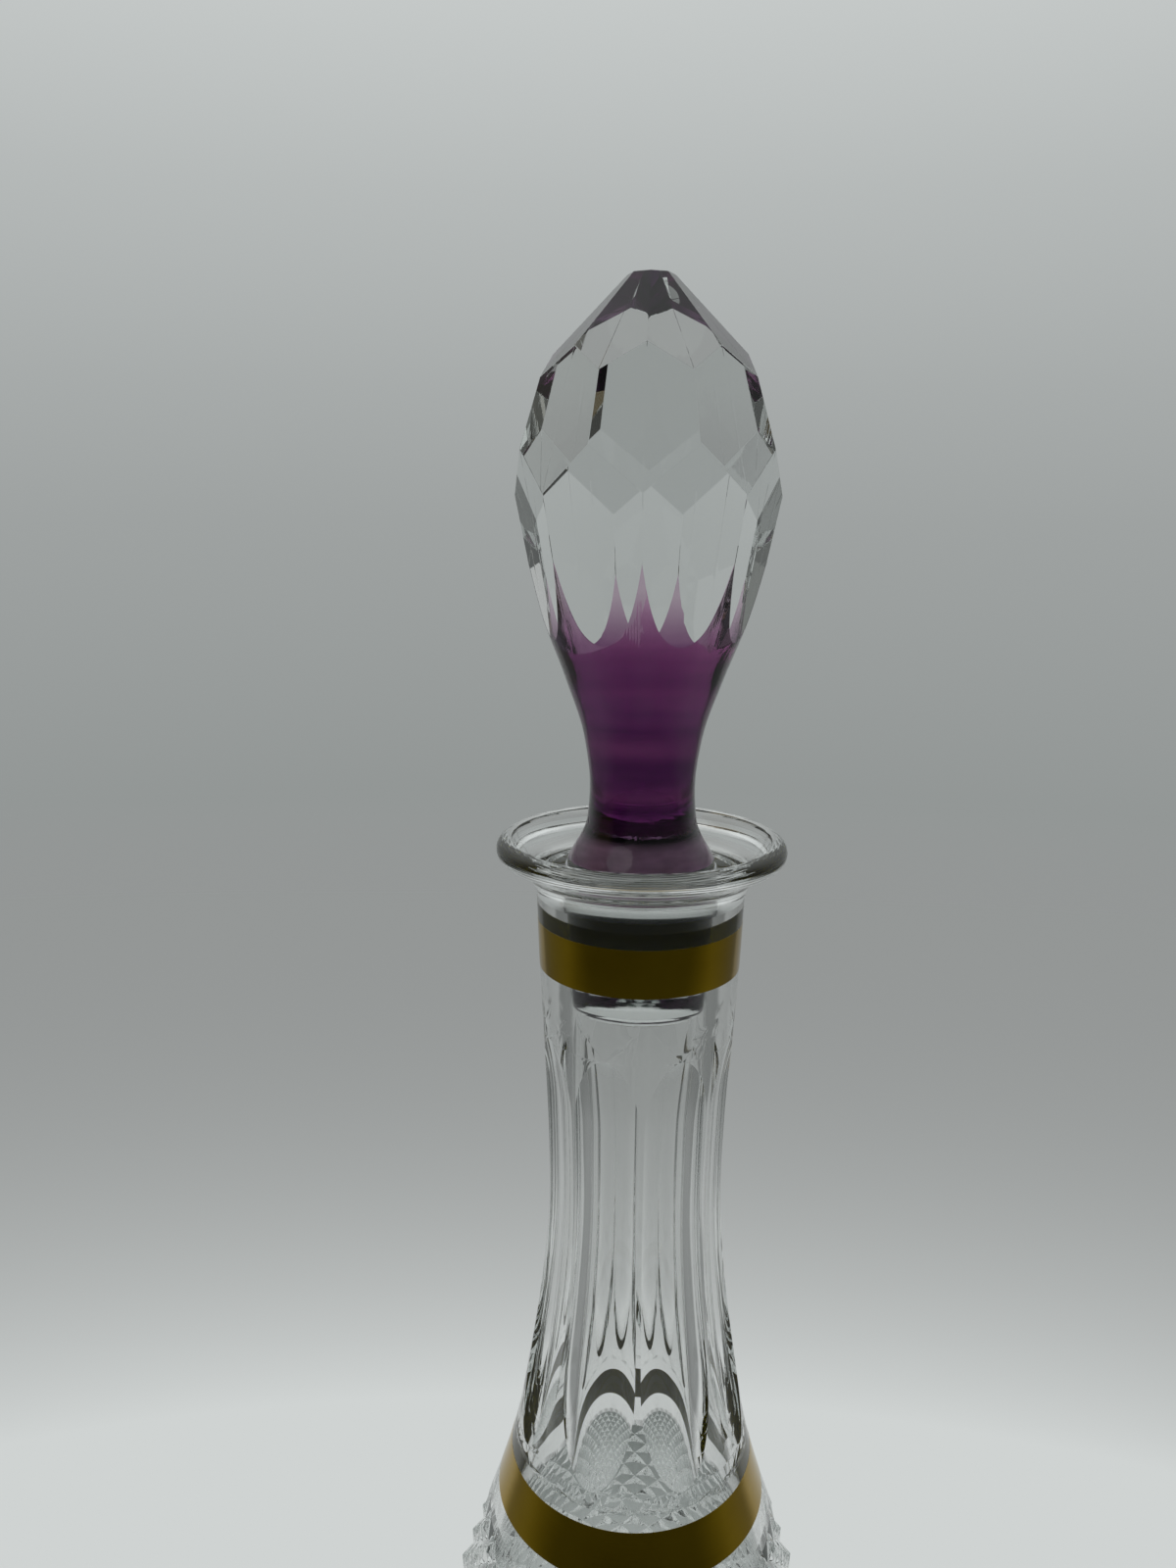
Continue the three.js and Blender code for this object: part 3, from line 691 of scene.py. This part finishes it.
def make_bottle():
    """The whole bottle as one closed surface.

    It runs from the middle of the base up the outside, over the lip and down the inside to
    the middle of the floor. The last number of each run of heights or points is its count of
    rows, before one that it shares with its neighbour is dropped.
    """
    base_r = RING_INSIDE * np.sin(np.linspace(0, np.pi / 2, 26))
    heel = through([
        (FOOT_RADIUS, 0),
        (HEEL_RADIUS - 0.8, HEEL_HEIGHT / 3),
        (HEEL_RADIUS, HEEL_HEIGHT),
    ], 9)
    heel_z = np.linspace(HEEL_HEIGHT, DIAMOND_BOTTOM, 28)[1:]
    diamond_z, diamond_r, diamond_lean = diamond_rows()
    band_z = np.linspace(DIAMOND_TOP, FLUTE_BOTTOM, 14)[1:-1]
    lower_arch = FLUTE_BOTTOM + FLUTE_LOWER_ARCH * np.linspace(0.01, 1, 26) ** 2
    upper_arch = FLUTE_TOP - FLUTE_UPPER_ARCH * np.linspace(1, 0.01, 22) ** 2
    shaft = np.linspace(lower_arch[-1], upper_arch[0], 26)[1:-1]
    before, after = [FLUTE_BOTTOM - 3, FLUTE_BOTTOM], [FLUTE_TOP, FLUTE_TOP + 3]
    flute_z = np.concatenate([before, lower_arch, shaft, upper_arch, after])
    flute_angle, flute_r = flute_rows(flute_z)
    collar_z = np.linspace(FLUTE_TOP + 6, LIP_ROOT_HEIGHT, 7)[:-1]
    lip = lip_outline()
    seat = np.linspace(lip[-1], (SEAT_BOTTOM_RADIUS, SEAT_BOTTOM), 7)[1:]
    bore = levels(cavity_radius, SEAT_BOTTOM, CAVITY_HEEL, 52)[1:]
    inner_r = bore[-1, 0]
    floor = through([
        (inner_r, CAVITY_HEEL),
        (inner_r - HEEL_HEIGHT * 0.4, CAVITY_FLOOR + HEEL_HEIGHT * 0.3),
        (inner_r * 0.6, CAVITY_FLOOR),
        (0, CAVITY_FLOOR),
    ], 18)[1:]
    stretches = [
        ("polished", around(base_r[:, None], base_rows(base_r), TURNED)),
        ("polished", around(heel[:, :1], heel[:, 1:], TURNED)),
        ("polished", around(heel_rows(heel_z), heel_z[:, None], TURNED)),
        ("polished", around(diamond_r[1:], diamond_z[1:, None], TURNED)),
        ("blown", around(bottle_radius(band_z)[:, None], band_z[:, None], TURNED)),
        ("blown", around(flute_r, flute_z[:, None], flute_angle)),
        ("blown", around(bottle_radius(collar_z)[:, None], collar_z[:, None], TURNED)),
        ("blown", around(lip[:, :1], lip[:, 1:], TURNED)),
        ("ground", around(seat[:, :1], seat[:, 1:], TURNED)),
        ("blown", around(bore[:, :1], bore[:, 1:], TURNED)),
        ("blown", around(floor[:, :1], floor[:, 1:], TURNED)),
    ]
    kinds = ["polished", "blown", "ground"]
    points = np.concatenate([grid for _, grid in stretches])
    points[0, :, :2] = points[-1, :, :2] = 0
    counts = [len(grid) for _, grid in stretches]
    of_row = np.repeat([kinds.index(kind) for kind, _ in stretches], counts)
    slots = np.broadcast_to(of_row[1:, None], (len(points) - 1, COLUMNS))
    lean = np.zeros((len(points) - 1, COLUMNS), bool)
    start = sum(counts[:3]) - 1
    lean[start:start + len(diamond_lean)] = diamond_lean
    mesh = mesh_of("bottle_glass", points, [CRYSTAL, BLOWN, GROUND], slots, lean)
    piece("bottle_glass", mesh, "bottle", "bottle")


LEAF_PROUD, LEAF_SUNK = 0.03, 0.02  # the leaf spans the glass surface by this much


def make_band(name, node, limits):
    """Gilt leaf round the bottle: a thin closed ring with slightly rounded edges."""
    rows = 12
    z = np.linspace(*limits, rows)
    outside = np.stack([bottle_radius(z) + LEAF_PROUD, z], 1)
    outside[[0, -1], 0] -= 0.4 * LEAF_PROUD
    inside = np.stack([bottle_radius(z) - LEAF_SUNK, z], 1)[::-1]
    outline = np.concatenate([outside, inside])
    slots = np.repeat([0, 1], rows)[:, None] + np.zeros(COLUMNS, int)
    points = around(outline[:, :1], outline[:, 1:])
    mesh = mesh_of(name, points, [GILT, GILT_UNDERSIDE], slots, closed=True)
    piece(name, mesh, "bottle", node)


# ---- Stopper -----------------------------------------------------------------------------


def from_facet(shifted):
    """Each column's angle from the middle of the nearest facet of a tier."""
    shift = SECTOR / 2 if shifted else 0
    return (KNOB_ANGLES - shift + SECTOR / 2) % SECTOR - SECTOR / 2


def crown(z):
    """Radius of the crown facets: planes that fall away from the table."""
    return (TABLE_RADIUS + (TABLE - z) * CROWN_SLOPE) / np.cos(from_facet(True))


def hexagons(z):
    """Radius of the hexagonal facets: steeper planes, half a facet on from the crown."""
    start = (TABLE_RADIUS + HEXAGON_TOP_DEPTH * CROWN_SLOPE) / np.cos(SECTOR / 2)
    depth = TABLE - z - HEXAGON_TOP_DEPTH
    return (start + depth * HEXAGON_SLOPE) / np.cos(from_facet(False))


def panels(z):
    """Radius of the long panels, which are flat across and slightly hollow along."""
    share = (z - (TABLE - PANEL_BOTTOM_DEPTH)) / (PANEL_BOTTOM_DEPTH - PANEL_TOP_DEPTH)
    straight = PANEL_BOTTOM_RADIUS + (PANEL_TOP_RADIUS - PANEL_BOTTOM_RADIUS) * share
    return (straight - 4 * PANEL_HOLLOW * share * (1 - share)) / np.cos(from_facet(True))


HALVINGS = 40


def crossing(first, second, low, high):
    """For each column, the height between two limits where two surfaces meet, by halving."""
    low, high = np.full(COLUMNS, low), np.full(COLUMNS, high)
    sign = np.sign(first(low) - second(low))
    for _ in range(HALVINGS):
        middle = (low + high) / 2
        same = np.sign(first(middle) - second(middle)) == sign
        low, high = np.where(same, middle, low), np.where(same, high, middle)
    return (low + high) / 2


def rows_between(surface, start, end, count, eased=False):
    """Points of a surface on count rows spread evenly between two heights per column.

    If eased, each ridge column is drawn in to the chord between its two neighbours, which
    leaves a narrow flat along the ridge and changes nothing in the middle of a facet.
    """
    z = start + (end - start) * np.linspace(0, 1, count)[:, None]
    r = np.broadcast_to(surface(z), (count, COLUMNS)).copy()
    if eased:
        r[:, ::COLUMNS // RIDGES] = np.cos(RIDGE_EASE) * r[:, 1::COLUMNS // RIDGES]
    return around(r, z, KNOB_TURNED)


def under_layer(z):
    """Radius of the glass that the amethyst lies on."""
    return blank_radius(z) - LAYER


# The limits lie well inside the tiers that they part.
crown_to_hexagon = crossing(crown, hexagons, TABLE - 25, TABLE - 8)
hexagon_to_panel = crossing(hexagons, panels, TABLE - 40, TABLE - 20)
panel_to_blank = crossing(panels, blank_radius, TABLE - 64, TABLE - 42)


def make_stopper_core():
    """Plug, foot and knob. Where the amethyst covers it the surface is lower by the layer."""
    plug_radius = SEAT_TOP_RADIUS - SEAT_CLEARANCE - (SEAT_TOP - PLUG_BOTTOM) * SEAT_TAPER
    turn = np.linspace(0, np.pi / 2, 10)
    end = np.stack([
        plug_radius - PLUG_END_RADIUS * (1 - np.sin(turn)),
        PLUG_BOTTOM + PLUG_END_RADIUS * (1 - np.cos(turn)),
    ], 1)
    flat = np.stack([np.linspace(0, end[0, 0], 6)[:-1], np.full(5, PLUG_BOTTOM)], 1)
    side = np.linspace(end[-1], (SEAT_TOP_RADIUS - SEAT_CLEARANCE, SEAT_TOP), 8)[1:]
    flare = FOOT_FLARE_RADIUS + 0.15
    foot = np.array([(flare, SEAT_TOP + 0.6), (FOOT_FLARE_RADIUS, FLASH_BOTTOM)])
    ledge = np.array([(FOOT_FLARE_RADIUS - LAYER, FLASH_BOTTOM)])
    buried = rows_between(under_layer, FLASH_BOTTOM, panel_to_blank, 60)[1:]
    hexagon_ends = (hexagon_to_panel + EDGE_EASE, crown_to_hexagon - EDGE_EASE)
    stretches = [
        (0, around(flat[:, :1], flat[:, 1:], KNOB_TURNED)),
        (0, around(end[:, :1], end[:, 1:], KNOB_TURNED)),
        (1, around(side[:, :1], side[:, 1:], KNOB_TURNED)),
        (0, around(foot[:, :1], foot[:, 1:], KNOB_TURNED)),
        (2, around(ledge[:, :1], ledge[:, 1:], KNOB_TURNED)),
        (2, buried),
        (2, rows_between(panels, panel_to_blank, panel_to_blank, 1)),
        (0, rows_between(panels, panel_to_blank, hexagon_to_panel - EDGE_EASE, 28, True)[1:]),
        (0, rows_between(hexagons, *hexagon_ends, 16, True)),
        (0, rows_between(crown, crown_to_hexagon + EDGE_EASE, TABLE - EDGE_EASE, 14, True)),
        (0, around(crown(TABLE) * np.array([[0.97], [0.5], [0.0]]), TABLE, KNOB_TURNED)),
    ]
    points = np.concatenate([grid for _, grid in stretches])
    of_row = np.repeat([slot for slot, _ in stretches], [len(grid) for _, grid in stretches])
    slots = np.broadcast_to(of_row[1:, None], (len(points) - 1, COLUMNS))
    mesh = mesh_of("stopper_glass", points, [CRYSTAL, GROUND, BURIED], slots)
    piece("stopper_glass", mesh, "stopper", "stopper_core")


def make_amethyst():
    """The layer over stem, foot and spikes: a closed shell whose upper edge follows the cuts."""
    outside = rows_between(blank_radius, FLASH_BOTTOM, panel_to_blank, 60)
    inside = rows_between(under_layer, FLASH_BOTTOM, panel_to_blank, 60)
    points = np.concatenate([outside, inside[::-1]])
    slots = np.ones((len(points), COLUMNS), int)
    slots[:len(outside) - 1] = 0
    mesh = mesh_of("amethyst_layer", points, [AMETHYST, AMETHYST_DEPTH], slots, closed=True)
    piece("amethyst_layer", mesh, "stopper", "amethyst_flash")


make_bottle()
make_band("collar_band", "collar_gilt_band", COLLAR_BAND)
make_band("shoulder_band", "shoulder_gilt_band", SHOULDER_BAND)
make_stopper_core()
make_amethyst()

# ---- Camera ------------------------------------------------------------------------------

LENS, SENSOR = 27.1, 36.0
CAMERA_PLACE = (0.0, -205.0, 340.6)
PITCH, YAW, ROLL = np.radians([12.65, -2.7, 0.44])


def make_camera():
    """A close view from just under the knob's middle, turned down to the shoulder."""
    forward = np.array([np.sin(YAW) * np.cos(PITCH), np.cos(YAW) * np.cos(PITCH), -np.sin(PITCH)])
    level = np.array([np.cos(YAW), -np.sin(YAW), 0])
    upright = np.cross(level, forward)
    right = np.cos(ROLL) * level + np.sin(ROLL) * upright
    up = np.cos(ROLL) * upright - np.sin(ROLL) * level
    data = bpy.data.cameras.new("camera")
    data.lens, data.sensor_width, data.sensor_fit = LENS, SENSOR, "AUTO"
    data.clip_start = 0.01
    camera = bpy.data.objects.new("camera", data)
    turn = Matrix(np.stack([right, up, -forward], 1).tolist()).to_4x4()
    camera.matrix_world = Matrix.Translation(np.array(CAMERA_PLACE) * MM) @ turn
    bpy.context.scene.collection.objects.link(camera)
    bpy.context.scene.camera = camera


# ---- Room and light ----------------------------------------------------------------------

FLOOR_RADIUS, FLOOR_THICKNESS = 2.6, 0.02  # metres, as are all the floor's distances
FLOOR_RINGS = 24
FLOOR_NEAR, FLOOR_FAR = 0.515, 0.240  # painted light of the table top, its emission near the object and far off
FLOOR_REACH, FLOOR_FALL = 0.20, 9.0  # how far the painted pool of light stays bright, and its fall per metre
FLOOR_FADE = (0.6, 1.248)  # the distances between which the table top fades into the room
FLOOR_FRONT, FRONT_LIGHT = (-0.32, -0.05), 0.06  # in the glass: its painted shade toward the viewer
FLOOR_SIDE, SIDE_SHADE = (0.19, 0.26), 0.65  # in the glass: its wedges of painted shade on both sides
SIDE_SLANT = 0.52  # how fast the wedges of painted shade narrow toward the back
# FLOOR_GLOW is the colour of the table top's emission, its painted light.
FLOOR_COLOUR, FLOOR_GLOW = (0.20, 0.21, 0.207, 1), (0.972, 1.0, 0.994, 1)

# The room's brightness from straight down (0) to straight up (1), as it is seen directly
ROOM_SEEN = [
    (0.0, (0.28, 0.298, 0.294)), (0.39, (0.290, 0.308, 0.304)),
    (0.5, (0.343, 0.361, 0.358)), (0.55, (0.385, 0.405, 0.402)),
    (0.62, (0.465, 0.488, 0.484)), (0.68, (0.56, 0.585, 0.58)),
    (0.80, (0.70, 0.73, 0.725)), (1.0, (0.78, 0.81, 0.805)),
]
# and as the glass and the gilt see it.
ROOM_IN_GLASS = [
    (0.0, (0.325, 0.344, 0.340)), (0.39, (0.330, 0.350, 0.345)),
    (0.5, (0.350, 0.370, 0.366)), (0.55, (0.375, 0.395, 0.392)),
    (0.62, (0.42, 0.442, 0.438)), (0.68, (0.49, 0.513, 0.508)),
    (0.80, (0.66, 0.69, 0.685)), (1.0, (0.78, 0.81, 0.805)),
]
# What the glass sees is dimmed by this, round from behind (0) by the left, the front (0.5)
# and the right. A warm wall is on the left, and the viewer is in front.
ROOM_SHADE = [
    (0.0, (1, 1, 1)), (0.15, (1, 1, 1)), (0.25, (0.27, 0.20, 0.11)),
    (0.315, (0.22, 0.16, 0.08)), (0.335, (0.03, 0.03, 0.03)),
    (0.405, (0.03, 0.03, 0.03)), (0.415, (0.16, 0.16, 0.15)),
    (0.52, (0.13, 0.13, 0.13)), (0.62, (0.19, 0.19, 0.18)),
    (0.74, (0.24, 0.24, 0.23)), (0.85, (1, 1, 1)), (1.0, (1, 1, 1)),
]
ROOM_TOP_SHADE = (0.7, 0.7, 0.7, 1)

LAMP_PLACE, LAMP_AIM = (-0.4, -0.35, 1.1), (0, 0, 0.15)  # metres
LAMP_SIZE, LAMP_POWER = 0.9, 1.0


def painted_floor_light(f, distance):
    """Strength of the table top's painted light: emission, whose pool round the object falls
    as an exponential of the distance.
    """
    fall = (FLOOR_REACH - distance) * FLOOR_FALL
    glow = fall.maths("MINIMUM", fall.maths("EXPONENT", fall), 1.0)
    return FLOOR_FAR + glow * (FLOOR_NEAR - FLOOR_FAR)


def make_floor(name, shaded):
    """A pale table top, brightest round the object, that fades into the room far off. That
    brightness is painted light: the top's emission paints a pool of light round the object.

    There are two: the plain one is seen directly, and the shaded one only in the glass and
    the gilt. Its shade is painted: it is darkened in front of the object and beside it, where
    the viewer and the dark room stand.
    """
    columns = ANGLES[::4]
    rings = np.linspace(0, FLOOR_RADIUS / MM, FLOOR_RINGS)[:, None]
    edge = np.array([[0.0], [FLOOR_RADIUS / MM]])
    under = around(edge, -FLOOR_THICKNESS / MM, columns)
    top = around(rings[::-1], 0.0, columns)
    f = material(name)
    x, y = f.along("X") * 0.5, f.along("Y")
    distance = (x * x + y * y) ** 0.5
    # Painted light: the emission brightens the top round the object.
    light = painted_floor_light(f, distance)
    # Painted shade on the copy seen in the glass: darker toward the viewer and in two side
    # wedges.
    if shaded:
        front = FRONT_LIGHT + y.between(*FLOOR_FRONT) * (1 - FRONT_LIGHT)
        beside = x.maths("ABSOLUTE", x) * 2.0 - y * SIDE_SLANT
        light = light * front * (1 - beside.between(*FLOOR_SIDE) * SIDE_SHADE)
    matt = f.node("ShaderNodeBsdfDiffuse", {}, {"Color": FLOOR_COLOUR})
    lit = f.node("ShaderNodeEmission", {}, {"Color": FLOOR_GLOW, "Strength": light})
    both = f.node("ShaderNodeAddShader", {}, {0: matt, 1: lit})
    gone = f.node("ShaderNodeBsdfTransparent", {}, {})
    faded = distance.between(*FLOOR_FADE)
    made = f.finish(f.node("ShaderNodeMixShader", {}, {0: faded, 1: both, 2: gone}))
    floor = bpy.data.objects.new(name, mesh_of(name, np.concatenate([under, top]), [made]))
    bpy.context.scene.collection.objects.link(floor)
    floor.visible_camera = not shaded
    floor.visible_diffuse = floor.visible_glossy = floor.visible_transmission = shaded


def make_lamp():
    """One weak round lamp overhead and to the left, which gives the glass its highlights."""
    data = bpy.data.lights.new("overhead", "AREA")
    data.shape, data.size, data.energy = "DISK", LAMP_SIZE, LAMP_POWER
    lamp = bpy.data.objects.new("overhead", data)
    aim = np.array(LAMP_AIM) - np.array(LAMP_PLACE)
    aim = aim / np.linalg.norm(aim)
    side = np.cross(aim, (0, 1, 0.01))
    side /= np.linalg.norm(side)
    turn = np.stack([side, np.cross(side, aim), -aim], 1)
    lamp.matrix_world = Matrix.Translation(LAMP_PLACE) @ Matrix(turn.tolist()).to_4x4()
    bpy.context.scene.collection.objects.link(lamp)


def make_room():
    """Soft light from all round, paler overhead.

    The glass and the gilt see it dimmed at the sides and at the viewer, and a little more
    even up and down.
    """
    world = bpy.data.worlds.new("room")
    bpy.context.scene.world = world
    f = Finish(world)
    right, behind, upward = (f.along(axis, "Generated") for axis in "XYZ")
    up = upward * 0.5 + 0.5
    grey = f.node("ShaderNodeValToRGB", {"stops": ROOM_SEEN}, {"Fac": up})
    even = f.node("ShaderNodeValToRGB", {"stops": ROOM_IN_GLASS}, {"Fac": up})
    round_it = right.maths("ARCTAN2", right, behind * -1.0) * (0.5 / np.pi) + 0.5
    shade = f.node("ShaderNodeValToRGB", {"stops": ROOM_SHADE}, {"Fac": round_it})
    shade = f.mix(upward.between(0.75, 0.97), shade, ROOM_TOP_SHADE)
    dimmed = f.mix(1.0, even, shade, "MULTIPLY")
    directly = f.node("ShaderNodeLightPath", {}, {}, "Is Camera Ray")
    colour = f.mix(directly, dimmed, grey)
    f.finish(f.node("ShaderNodeBackground", {}, {"Color": colour}))


make_camera()
make_floor("table_top", False)
make_floor("table_top_in_glass", True)
make_room()
make_lamp()

scene = bpy.context.scene
scene.view_settings.view_transform = "Standard"
scene.cycles.max_bounces = 24
scene.cycles.transmission_bounces = 24
scene.cycles.glossy_bounces = 16
scene.cycles.transparent_max_bounces = 48
scene.cycles.caustics_reflective = False
scene.cycles.caustics_refractive = True

bpy.context.view_layer.update()
